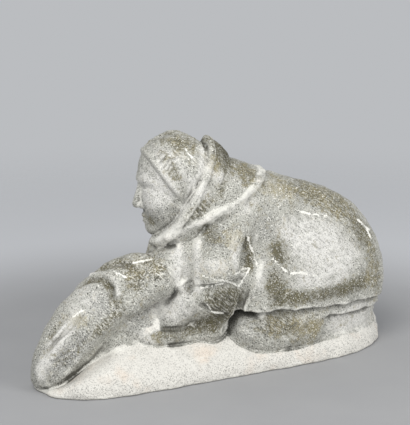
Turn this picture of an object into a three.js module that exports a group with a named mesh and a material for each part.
// A hunter in a hooded coat, carved in one piece from a block of soapstone.
// The figure kneels on a low boat-shaped base, head raised, and reaches forward over a long
// rounded form that runs down to the pointed tip of the base.
//
// The stone is described as a distance field: simple rounded solids, joined and cut softly as a
// carver rounds one form into the next. The field is turned into one closed faceted surface.
//
// Millimetres. +X runs from the tip to the back of the figure, +Z is up, and the near side, where
// the arm props the body up, faces -Y. At the end the origin is put under the middle of the
// outline, on the flat underside.
import * as THREE from "three";

// Base: a boat-shaped plan with a low wall, a sloping top and a flat underside.
const BASE = {
  halfWidth: 42.5,
  front: { length: 142, power: 6.6, fullness: 0.5 },
  rear: { length: 140, power: 4.8, fullness: 0.8 },
  wall: 11,
  slope: 1.2,
  top: 28,
  tipFrom: -85,
  tipFall: 0.46,
};

// Coat: a long dome that sinks towards the back, cut off at a nearly level hem.
const TORSO = { at: [49.6, 0, 46], size: [88.8, 43, 83.5], pitch: -17.4, boxy: 2.2 };
const HEM = { height: 45, fall: 0.06 };
const YOKE = { low: [-60, 98], high: [40, 143], thickness: 1.6 };

// Legs: a boot on each side, the heels behind it, and the trousers that show under the hem.
const BOOT = { at: [38, 0, 27], size: [45, 42, 22], boxy: 3, end: 68 };
const HEEL = { inset: 6.5, from: 20, to: 134, middle: 27, halfHeight: 15 };
const TROUSERS = { inset: 2.6, from: 12, halfHeight: 8 };

// Hood: an egg leaning back, cut open by the plane from the crown to the chin, with a rolled rim.
const HOOD = { at: [-25.5, 0, 126.5], size: [27, 29, 42.5], pitch: -31, boxy: 2.15 };
const HOOD_OPENING = { top: [-12, 166], chin: [-55, 95], farSide: 0.7 };
const RIM = { raised: 1.4, halfWidth: 2.6 };

// Head: its own frame, turned a little to the far side and nodding. The face is calm and plain,
// with the eyes halfway down the head, an eye's width apart. Bars are [x, y, z, radius] stops.
const HEAD = { at: [-35, 0, 134], turn: -16, nod: 8 };
const FACE = {
  skull: { at: [-1, 0, 9], size: [24.8, 25, 27] },
  jaw: { at: [3, 0, -11], size: [20.5, 21, 24], pitch: 4, boxy: 2.4 },
  chin: { at: [14.5, 0, -27.5], size: [9.5, 10, 7.5] },
  cheek: { at: [14, 11.5, -8], size: [9, 10, 9.5] },
  socket: { at: [27.5, 10, 2.2], size: [6, 7, 4] },
  eye: { at: [19, 10, 0], size: [4.4, 5.6, 4.2] },
  brow: [[22.6, 3.5, 8.2, 2.4], [20.5, 11, 9.4, 2], [15.5, 18, 6.5, 1.6]],
  nose: [[22.5, 0, 4.5, 2.3], [27.8, 0, -8.6, 3.3]],
  nostril: [[25.4, 3.4, -10, 2.3], [23.4, 4.4, -9.6, 2]],
  upperLip: [[23.6, 0, -17.6, 2.1], [20.6, 7.6, -19, 1]],
  lowerLip: [[23.2, 0, -21.4, 2.2], [20.6, 6.4, -21, 1]],
};
const HAIR = { at: [-2, 0, 9], size: [26.6, 27, 28.6] };
const HAIRLINE = { forward: 7.5, up: 4, lean: 28 };
const PARTING = { depth: 1.2, width: 2.2 };

// Trunk: the neck and shoulders as a short bar, and the chest under it.
const SHOULDERS = [[0, 0, 114.5, 34.5], [32, 0, 102, 34.5]];
const CHEST = { at: [-20, 0, 80], size: [34, 27, 32], pitch: 20, boxy: 2.2 };

// Near arm: it props the body up, with a straight upper arm, the sleeve's front and a flat mitten.
const UPPER_ARM = [[-3, -21, 104, 17], [-16, -26, 78, 16.5], [-17, -24, 60, 17]];
const LOWER_ARM = [[-17, -22, 58, 17], [-18, -15, 34, 16]];
const SLEEVE_FRONT = [[-26, -21, 80, 10], [-34, -18, 56, 14], [-50, -11, 34, 11]];
const ELBOW = { at: [-14, -26, 56], size: [17, 13.5, 18] };
const MITTEN = { at: [-40, -14, 30], size: [31, 12, 8.5], boxy: 2.5 };
const CUFF = { height: 70.5, middle: -20, rise: 0.12, raised: 1.8 };
const WRIST_GROOVE = [[-31, -34, 54], [-27, -36, 51], [-22, -37, 48], [-13, -36, 46]];
const WRIST_HOLLOW = { at: [-19, -38, 41], size: [9, 4, 4.5] };
const MITTEN_CREASE = [[-56, -21, 37], [-39, -25, 36.5]];

// Far arm: it reaches forward to the long form.
const FAR_ARM = [[-2, 22, 104, 17], [-18, 27, 74, 15.5], [-62, 20, 54, 14]];

// Deep fold between arm and body on each side, a pocket above and a crease below, and the
// upright fold of cloth behind it. The cape's edge is a low roll, which on the near side runs on
// under the chin.
const FOLD_POCKET = [[3, -39.5, 107, 0.5], [2.5, -41, 92, 5], [2.5, -41, 81, 8.5]];
const FOLD_BELOW = [[5, -40, 72, 3], [1, -38, 57, 3], [-3, -33, 46, 3.5], [-9, -28, 34, 4]];
const CLOTH_FOLD = [[19, -46, 94], [15, -40, 81], [9, -40, 64], [2, -37, 50]];
const YOKE_ROLL = [
  [33, 0, 139, 2], [30.5, -11, 138.2, 2], [24.5, -19, 136.4, 2], [17, -25.4, 133.6, 2],
  [3.6, -31.8, 126, 2], [-8.6, -32.8, 120.6, 2.2], [-30, -26.4, 111, 2.4],
];
const CHIN_ROLL = [[-30, -26.4, 111, 2.4], [-49.6, -18.4, 101.2, 2.4], [-52, -7, 95.4, 1.6]];

// Stone left standing between the arms, under the chest and under the forward form, and the
// short form like a sleeve that comes down from the neck on the near side, with its upright folds.
const WEB_TALL = { at: [-60, 0, 42], size: [44, 16, 40], pitch: 10, boxy: 2.4 };
const WEB_LOW = [[-60, 0, 36, 17], [-84, 0, 32, 17], [-112, 0, 20, 9]];
const NECK_SLEEVE = [[-38, -12, 84, 13], [-58, -15, 70, 13], [-78, -15, 56, 9]];
const SLEEVE_GROOVE = [[-36, -24, 97], [-37, -28, 81], [-38, -29, 66]];
const SLEEVE_RIDGES = [
  [[-30, -25, 96], [-33, -31, 80], [-34, -32, 66]],
  [[-42, -20, 96], [-44, -25, 79], [-44, -25, 67]],
];

// Forward form: a long rounded body with a tucked-in flank, ring lines on top and finger grooves.
const FORWARD = { at: [-64, 0, 9], size: [79, 30, 74], pitch: 40, boxy: 2.3 };
const FORWARD_CORE = { at: [-100, 0, 46], size: [60, 29, 33], pitch: 34, boxy: 2.3, margin: 2 };
const FLANK = { halfWidth: 24.5, x: -111, z: 36, rise: 0.81, lean: 27.6 };
const OUTER_RING = [
  [-96, 6, 79], [-88, 1, 81], [-80, -4, 84], [-74, -11, 82], [-72, -18, 77], [-75, -22, 71],
];
const RAISED_RING = [[-98, 4, 77], [-91, -7, 78], [-87, -15, 74], [-88, -20, 66]];
const INNER_RING = [[-106, 3, 71], [-100, -3, 74], [-95, -9, 75], [-91, -15, 70], [-93, -21, 61]];
const FINGER_GROOVES = [
  [[-134, -7, 39], [-122, -10, 53]],
  [[-139, -8, 27], [-116, -15, 52]],
];
const FINGER = [[-142, -5, 18], [-113, -18, 50]];

// Surface: spacing of the sampling grid, and the number of triangles it is thinned to.
const SPACING = 2.7;
const MARGIN = 3.2;
const BOUNDS = { low: [-152, -47, 0], high: [152, 47, 176] };
const TRIANGLES = 9600;
const FOOT_EDGE = 2;

const STONE_COLOUR = 0x9b9a8c;

// Small tools for numbers and points.
const radians = THREE.MathUtils.degToRad;
const clamp = THREE.MathUtils.clamp;
const bell = (distance, width) => Math.exp(-((distance / width) ** 2));
const mirrored = ([x, y, z]) => [x, Math.abs(y), z];
const nearSide = ([x, y, z]) => [x, -Math.abs(y), z];

// The nearer of two fields, with a fillet of size k where they meet.
function join(a, b, k) {
  const h = clamp(0.5 + (0.5 * (b - a)) / k, 0, 1);
  return b * (1 - h) + a * h - k * h * (1 - h);
}

// What two fields share, with an edge rounded by k.
const share = (a, b, k) => -join(-a, -b, k);

// Distance from an egg whose long axis rises by pitch degrees. boxy = 2 is a plain ellipsoid.
function egg(p, { at, size, pitch = 0, boxy = 2 }) {
  const c = Math.cos(radians(pitch));
  const s = Math.sin(radians(pitch));
  const x = p[0] - at[0];
  const y = p[1] - at[1];
  const z = p[2] - at[2];
  const q = [x * c + z * s, y, z * c - x * s].map((v, i) => Math.abs(v) / size[i] + 1e-6);
  const reach = (q[0] ** boxy + q[1] ** boxy + q[2] ** boxy) ** (1 / boxy);
  const steepness = Math.hypot(...q.map((v, i) => (v / reach) ** (boxy - 1) / size[i]));
  return (reach - 1) / steepness;
}

// Distance from a round bar from a to b, with a radius at each end.
function bar(p, a, b, radiusA, radiusB) {
  const d = [b[0] - a[0], b[1] - a[1], b[2] - a[2]];
  const w = [p[0] - a[0], p[1] - a[1], p[2] - a[2]];
  const along = (w[0] * d[0] + w[1] * d[1] + w[2] * d[2]) / (d[0] ** 2 + d[1] ** 2 + d[2] ** 2);
  const t = clamp(along, 0, 1);
  const gap = Math.hypot(w[0] - t * d[0], w[1] - t * d[1], w[2] - t * d[2]);
  return gap - (radiusA + (radiusB - radiusA) * t);
}

// Bars joined end to end, each stop being [x, y, z, radius].
function limb(p, stops, k) {
  let found = Infinity;
  for (let i = 1; i < stops.length; i++) {
    const [from, to] = [stops[i - 1], stops[i]];
    const d = bar(p, from, to, from[3], to[3]);
    found = i === 1 ? d : join(found, d, k);
  }
  return found;
}

// Distance from a line through points, for carved grooves and raised ridges.
function line(p, points) {
  let found = Infinity;
  for (let i = 1; i < points.length; i++)
    found = Math.min(found, bar(p, points[i - 1], points[i], 0, 0));
  return found;
}

// Height of a point above the side-view line from a to b.
function above(p, a, b) {
  const dx = b[0] - a[0];
  const dz = b[1] - a[1];
  return ((p[2] - a[1]) * dx - (p[0] - a[0]) * dz) / Math.hypot(dx, dz);
}

// Half the width of the base at x, negative past its ends.
function baseHalfWidth(x) {
  const end = x < 0 ? BASE.front : BASE.rear;
  const rest = 1 - (Math.abs(x) / end.length) ** end.power;
  return BASE.halfWidth * Math.sign(rest) * Math.abs(rest) ** end.fullness;
}

// How fast the base narrows at x, which turns a width into a distance.
const baseTaper = (x) => Math.abs(baseHalfWidth(x + 1) - baseHalfWidth(x - 1)) / 2;

function base(p) {
  const [x, y, z] = mirrored(p);
  const rise = Math.max(z - BASE.wall, 0);
  const leaning = z > BASE.wall ? BASE.slope : 0;
  const outside = y + BASE.slope * rise - baseHalfWidth(x);
  const side = outside / Math.hypot(1, baseTaper(x), leaning);
  const topHeight = BASE.top - BASE.tipFall * Math.max(BASE.tipFrom - x, 0);
  return share(side, (z - topHeight) / 1.1, 4);
}

const hemHeight = (x) => HEM.height - HEM.fall * x;

function legs(p) {
  const [x, y, z] = mirrored(p);
  const boot = share(egg([x, y, z], BOOT), x - BOOT.end, 1.5);
  const outline = (y - baseHalfWidth(x) + HEEL.inset) / Math.hypot(1, baseTaper(x));
  let heel = share(outline, Math.abs(z - HEEL.middle) - HEEL.halfHeight, 5);
  heel = share(heel, x - HEEL.to, 6);
  heel = share(heel, HEEL.from - x, 6);
  const belt = Math.abs(z - hemHeight(x)) - TROUSERS.halfHeight;
  let trousers = share(egg(p, TORSO) + TROUSERS.inset, belt, 2);
  trousers = share(trousers, TROUSERS.from - x, 6);
  return join(join(boot, heel, 1.5), trousers, 1.5);
}

const trunk = (p) => join(limb(p, SHOULDERS), egg(p, CHEST), 8);

function nearArm(p) {
  let arm = join(limb(p, UPPER_ARM, 4), limb(p, LOWER_ARM), 1);
  arm = join(arm, egg(p, ELBOW), 3);
  arm = join(join(arm, limb(p, SLEEVE_FRONT, 4), 6), egg(p, MITTEN), 2);
  const cuffHeight = CUFF.height + CUFF.rise * (p[0] - CUFF.middle);
  arm = join(arm, share(arm - CUFF.raised, cuffHeight - p[2], 1), 1);
  arm += 2 * bell(line(p, WRIST_GROOVE), 1.8);
  arm = share(arm, -egg(p, WRIST_HOLLOW), 2);
  return arm + 1.6 * bell(line(p, MITTEN_CREASE), 1.6);
}

function coat(p) {
  const dome = share(egg(p, TORSO), hemHeight(p[0]) - p[2], 1.5);
  const body = join(dome, trunk(p), 8);
  const arms = join(nearArm(p), limb(p, FAR_ARM, 6), 1);
  let cloth = join(body, arms, 5);
  cloth = share(cloth, -limb(nearSide(p), FOLD_POCKET, 2), 0.8);
  cloth = share(cloth, -limb(nearSide(p), FOLD_BELOW, 2), 1);
  cloth -= 1.6 * bell(line(nearSide(p), CLOTH_FOLD), 3);
  const cape = share(cloth - YOKE.thickness, -above(p, YOKE.low, YOKE.high), 1.5);
  return join(cloth, cape, 1);
}

const web = (p) => join(egg(p, WEB_TALL), limb(p, WEB_LOW, 4), 6);

function forwardForm(p) {
  const [x, y, z] = mirrored(p);
  let form = share(egg(p, FORWARD), egg(p, FORWARD_CORE) - FORWARD_CORE.margin, 6);
  const edgeHeight = FLANK.z + FLANK.rise * (x - FLANK.x);
  const outward = Math.cos(radians(FLANK.lean)) * (y - FLANK.halfWidth);
  const downward = Math.sin(radians(FLANK.lean)) * (z - edgeHeight);
  const tuck = (outward - downward) / 1.07;
  form = share(form, tuck, 1.8);
  form += 2.2 * bell(line(p, OUTER_RING), 2.6);
  form -= 1.2 * bell(line(p, RAISED_RING), 2.4);
  form += 2.0 * bell(line(p, INNER_RING), 2.2);
  for (const groove of FINGER_GROOVES) form += 2.4 * bell(line(p, groove), 2.4);
  return form - 1.6 * bell(line(p, FINGER), 4.5);
}

// A point as [forward, sideways, up] from the middle of the head.
function inHead(p) {
  const turn = radians(HEAD.turn);
  const nod = radians(HEAD.nod);
  const [x, y, z] = p.map((v, i) => v - HEAD.at[i]);
  const forward = -x * Math.cos(turn) - y * Math.sin(turn);
  const sideways = x * Math.sin(turn) - y * Math.cos(turn);
  return [
    forward * Math.cos(nod) - z * Math.sin(nod),
    Math.abs(sideways),
    z * Math.cos(nod) + forward * Math.sin(nod),
  ];
}

function head(p) {
  const q = inHead(p);
  let face = join(egg(q, FACE.skull), egg(q, FACE.jaw), 9);
  face = join(face, egg(q, FACE.chin), 6);
  face = join(face, egg(q, FACE.cheek), 6);
  face = share(face, -egg(q, FACE.socket), 4);
  face = join(face, egg(q, FACE.eye), 1.5);
  face = join(face, limb(q, FACE.brow, 2), 3);
  face = join(face, join(limb(q, FACE.nose), limb(q, FACE.nostril), 2), 2.5);
  const lips = join(limb(q, FACE.upperLip), limb(q, FACE.lowerLip), 0.5);
  return join(face, lips, 1.5);
}

// Hair with a middle parting, swept back from the forehead under the hood.
function hair(p) {
  const q = inHead(p);
  const lean = radians(HAIRLINE.lean);
  const ahead = Math.cos(lean) * (q[0] - HAIRLINE.forward) - Math.sin(lean) * (q[2] - HAIRLINE.up);
  return share(egg(q, HAIR) + PARTING.depth * bell(q[1], PARTING.width), ahead, 2);
}

function hood(p) {
  const shell = egg(p, HOOD);
  const receding = HOOD_OPENING.farSide * Math.max(p[1], 0);
  const behind = above(p, HOOD_OPENING.top, HOOD_OPENING.chin) - receding;
  const band = share(shell, -behind, 1.5);
  const rim = share(shell - RIM.raised, Math.abs(behind - RIM.halfWidth) - RIM.halfWidth, 1.5);
  return join(band, rim, 1.5);
}

// The whole carving, cut flat underneath.
function carving(p) {
  let stone = join(base(p), legs(p), 1.5);
  stone = join(stone, coat(p), 1);
  stone = join(stone, web(p), 8);
  stone = join(stone, limb(p, NECK_SLEEVE, 5), 1.5);
  stone += 2.6 * bell(line(p, SLEEVE_GROOVE), 2.8);
  for (const ridge of SLEEVE_RIDGES) stone -= 1.3 * bell(line(p, ridge), 2.3);
  stone = join(stone, forwardForm(p), 2.5);
  stone = join(stone, head(p), 2);
  stone = join(stone, hair(p), 0.5);
  stone = join(stone, hood(p), 1);
  const roll = Math.min(limb(nearSide(p), YOKE_ROLL, 2), limb(p, CHIN_ROLL, 2));
  stone = join(stone, roll, 2.5);
  return share(stone, -p[2], 1);
}

// The cube between eight grid points: its corners, its edges, and the four corners of each side.
const CORNERS = [0, 1, 2, 3, 4, 5, 6, 7].map((c) => [c & 1, (c >> 1) & 1, c >> 2]);
const EDGES = CORNERS.flatMap((_, a) => [1, 2, 4].filter((bit) => !(a & bit)).map((bit) => [a, a | bit]));
const SIDES = [0, 1, 2].flatMap((axis) => {
  const u = 1 << (axis + 1) % 3;
  const v = 1 << (axis + 2) % 3;
  return [0, 1 << axis].map((from) => [from, from | u, from | u | v, from | v]);
});
const edgeBetween = (a, b) => EDGES.findIndex((edge) => edge.includes(a) && edge.includes(b));

// For a cube whose corners inside the stone are the bits of pattern, the sheet of surface that
// each edge belongs to, named by one of its edges, or -1 where the surface doesn't cross.
function sheetsOf(pattern) {
  const isIn = (c) => (pattern >> c) & 1;
  const group = EDGES.map((_, e) => e);
  const find = (e) => (group[e] === e ? e : find(group[e]));
  for (const ring of SIDES) {
    const cut = ring.map((c, i) => {
      const next = ring[(i + 1) % 4];
      return isIn(c) === isIn(next) ? -1 : edgeBetween(c, next);
    });
    const crossed = cut.filter((e) => e >= 0);
    if (crossed.length === 2) group[find(crossed[0])] = find(crossed[1]);
    if (crossed.length === 4)
      ring.forEach((c, i) => {
        if (!isIn(c)) group[find(cut[i])] = find(cut[(i + 3) % 4]);
      });
  }
  return EDGES.map(([a, b], e) => (isIn(a) === isIn(b) ? -1 : find(e)));
}

// Samples the field on a grid and puts a vertex in every cell for each sheet of surface in it,
// at the mean of its crossings, then a square across every grid edge that the surface cuts.
function skin(field) {
  const low = BOUNDS.low.map((v) => v - MARGIN);
  const count = BOUNDS.high.map((v, i) => Math.ceil((v + MARGIN - low[i]) / SPACING) + 1);
  const stride = [1, count[0], count[0] * count[1]];
  const place = (i, j, k) => [low[0] + i * SPACING, low[1] + j * SPACING, low[2] + k * SPACING];
  const offset = CORNERS.map((c) => c[0] + c[1] * stride[1] + c[2] * stride[2]);
  const value = new Float64Array(stride[2] * count[2]);
  for (let k = 0; k < count[2]; k++)
    for (let j = 0; j < count[1]; j++)
      for (let i = 0; i < count[0]; i++)
        value[i + j * stride[1] + k * stride[2]] = field(place(i, j, k));

  const patterns = Array.from({ length: 256 }, (_, pattern) => sheetsOf(pattern));
  const vertexOf = new Map();
  const vertices = [];
  for (let k = 0; k < count[2] - 1; k++)
    for (let j = 0; j < count[1] - 1; j++)
      for (let i = 0; i < count[0] - 1; i++) {
        const cell = i + j * stride[1] + k * stride[2];
        const pattern = offset.reduce((bits, o, c) => bits | ((value[cell + o] < 0) << c), 0);
        const sums = new Map();
        patterns[pattern].forEach((sheet, e) => {
          if (sheet < 0) return;
          const [a, b] = EDGES[e];
          const [va, vb] = [value[cell + offset[a]], value[cell + offset[b]]];
          const t = va / (va - vb);
          const sum = sums.get(sheet) ?? [0, 0, 0, 0];
          for (let axis = 0; axis < 3; axis++)
            sum[axis] += CORNERS[a][axis] + t * (CORNERS[b][axis] - CORNERS[a][axis]);
          sum[3]++;
          sums.set(sheet, sum);
        });
        const corner = place(i, j, k);
        for (const [sheet, sum] of sums) {
          vertexOf.set(12 * cell + sheet, vertices.length);
          vertices.push(corner.map((v, axis) => v + (sum[axis] / sum[3]) * SPACING));
        }
      }

  const vertexAt = (cell, edge) => {
    const pattern = offset.reduce((bits, o, c) => bits | ((value[cell + o] < 0) << c), 0);
    return vertexOf.get(12 * cell + patterns[pattern][edge]);
  };
  const triangles = [];
  for (let k = 1; k < count[2] - 1; k++)
    for (let j = 1; j < count[1] - 1; j++)
      for (let i = 1; i < count[0] - 1; i++) {
        const cell = i + j * stride[1] + k * stride[2];
        const inside = value[cell] < 0;
        for (let axis = 0; axis < 3; axis++) {
          if (inside === value[cell + stride[axis]] < 0) continue;
          const [u, v] = [(axis + 1) % 3, (axis + 2) % 3];
          const ring = [[1, 1], [0, 1], [0, 0], [1, 0]].map(([du, dv]) => {
            const neighbour = cell - du * stride[u] - dv * stride[v];
            const corner = (du << u) | (dv << v);
            return vertexAt(neighbour, edgeBetween(corner, corner | (1 << axis)));
          });
          if (!inside) ring.reverse();
          triangles.push([ring[0], ring[1], ring[2]], [ring[0], ring[2], ring[3]]);
        }
      }
  return { vertices, triangles };
}

const minus = (a, b) => [a[0] - b[0], a[1] - b[1], a[2] - b[2]];
const cross = (a, b) => [
  a[1] * b[2] - a[2] * b[1],
  a[2] * b[0] - a[0] * b[2],
  a[0] * b[1] - a[1] * b[0],
];
const dot = (a, b) => a[0] * b[0] + a[1] * b[1] + a[2] * b[2];

// Joins the ends of the edges that matter least until the wanted number of triangles is left.
// What an edge costs is the squared distance, weighted by area, of its new end from the planes
// of all the faces that met there. Flat stretches thin out and carved ones keep their faces.
function thin({ vertices, triangles }, wanted) {
  const faces = triangles.map((t) => [...t]);
  const facesAt = vertices.map(() => new Set());
  const planes = vertices.map(() => new Float64Array(10));
  faces.forEach((face, f) => {
    const [a, b, c] = face.map((v) => vertices[v]);
    const normal = cross(minus(b, a), minus(c, a));
    const area = Math.hypot(...normal) / 2;
    const n = normal.map((v) => v / (2 * area || 1));
    const plane = [...n, -dot(n, a)];
    for (const v of face) {
      facesAt[v].add(f);
      let slot = 0;
      for (let row = 0; row < 4; row++)
        for (let col = row; col < 4; col++) planes[v][slot++] += area * plane[row] * plane[col];
    }
  });

  const costAt = (q, [x, y, z]) =>
    q[0] * x * x + 2 * q[1] * x * y + 2 * q[2] * x * z + 2 * q[3] * x +
    q[4] * y * y + 2 * q[5] * y * z + 2 * q[6] * y +
    q[7] * z * z + 2 * q[8] * z + q[9];

  const heap = [];
  const age = new Uint32Array(vertices.length);
  const push = (entry) => {
    let i = heap.push(entry) - 1;
    for (let up; i > 0 && heap[(up = (i - 1) >> 1)].cost > entry.cost; i = up) heap[i] = heap[up];
    heap[i] = entry;
  };
  const pop = () => {
    const first = heap[0];
    const last = heap.pop();
    let i = 0;
    for (let down; (down = 2 * i + 1) < heap.length; i = down) {
      if (down + 1 < heap.length && heap[down + 1].cost < heap[down].cost) down++;
      if (heap[down].cost >= last.cost) break;
      heap[i] = heap[down];
    }
    if (heap.length) heap[i] = last;
    return first;
  };
  const offer = (a, b) => {
    const q = planes[a].map((v, i) => v + planes[b][i]);
    const middle = vertices[a].map((v, i) => (v + vertices[b][i]) / 2);
    let best = { cost: Infinity };
    for (const spot of [vertices[a], vertices[b], middle]) {
      const length = Math.hypot(...minus(vertices[a], vertices[b]));
      const cost = costAt(q, spot) + 1e-5 * length ** 2;
      if (cost < best.cost) best = { cost, spot, a, b, ageA: age[a], ageB: age[b] };
    }
    push(best);
  };
  const neighbours = (v) => {
    const found = new Set();
    for (const f of facesAt[v]) for (const w of faces[f]) if (w !== v) found.add(w);
    return found;
  };
  const keepsFacing = (v, other, spot) => {
    for (const f of facesAt[v]) {
      if (faces[f].includes(other)) continue;
      const before = faces[f].map((w) => vertices[w]);
      const after = faces[f].map((w) => (w === v ? spot : vertices[w]));
      const n0 = cross(minus(before[1], before[0]), minus(before[2], before[0]));
      const n1 = cross(minus(after[1], after[0]), minus(after[2], after[0]));
      const size = Math.hypot(...n0) * Math.hypot(...n1);
      const longest = Math.max(...after.map((w, i) => Math.hypot(...minus(w, after[(i + 1) % 3]))));
      if (dot(n0, n1) < 0.5 * size || Math.hypot(...n1) < 0.06 * longest ** 2) return false;
    }
    return true;
  };

  vertices.forEach((_, a) => neighbours(a).forEach((b) => a < b && offer(a, b)));
  let left = faces.length;
  while (left > wanted && heap.length) {
    const { a, b, spot, ageA, ageB } = pop();
    if (ageA !== age[a] || ageB !== age[b]) continue;
    const nearA = neighbours(a);
    const shared = [...neighbours(b)].filter((v) => nearA.has(v));
    if (shared.length !== 2 || !keepsFacing(a, b, spot) || !keepsFacing(b, a, spot)) continue;
    vertices[a] = [...spot];
    planes[b].forEach((v, i) => (planes[a][i] += v));
    for (const f of facesAt[b]) {
      if (faces[f].includes(a)) {
        faces[f].forEach((v) => v !== b && facesAt[v].delete(f));
        faces[f] = null;
        left--;
      } else {
        faces[f] = faces[f].map((v) => (v === b ? a : v));
        facesAt[a].add(f);
      }
    }
    facesAt[b].clear();
    age[a]++;
    age[b]++;
    neighbours(a).forEach((v) => offer(a, v));
  }
  return { vertices, triangles: faces.filter(Boolean) };
}

// Moves each vertex above the edge of the underside back onto the surface of the field.
function settle(field, vertices) {
  const step = 0.4;
  for (const p of vertices) {
    if (p[2] < FOOT_EDGE) continue;
    const slope = [0, 1, 2].map((axis) => {
      const [ahead, behind] = [[...p], [...p]];
      ahead[axis] += step;
      behind[axis] -= step;
      return (field(ahead) - field(behind)) / (2 * step);
    });
    const move = clamp(field(p), -0.8, 0.8) / Math.max(dot(slope, slope), 0.25);
    slope.forEach((v, axis) => (p[axis] -= move * v));
  }
}

const { vertices, triangles } = thin(skin(carving), TRIANGLES);
const used = [...new Set(triangles.flat())];
const renumbered = new Map(used.map((old, now) => [old, now]));
const points = used.map((old) => vertices[old]);
settle(carving, points);

const geometry = new THREE.BufferGeometry();
geometry.setAttribute("position", new THREE.Float32BufferAttribute(points.flat(), 3));
geometry.setIndex(triangles.flat().map((v) => renumbered.get(v)));
geometry.computeBoundingBox();
const middle = geometry.boundingBox.getCenter(new THREE.Vector3());
geometry.translate(-middle.x, -middle.y, 0);
geometry.computeVertexNormals();

const stone = new THREE.MeshStandardMaterial({ color: STONE_COLOUR, roughness: 0.75, metalness: 0 });
const hunter = new THREE.Mesh(geometry, stone);
hunter.name = "hunter_carving";

const sculpture = new THREE.Group();
sculpture.add(hunter);

export default sculpture;
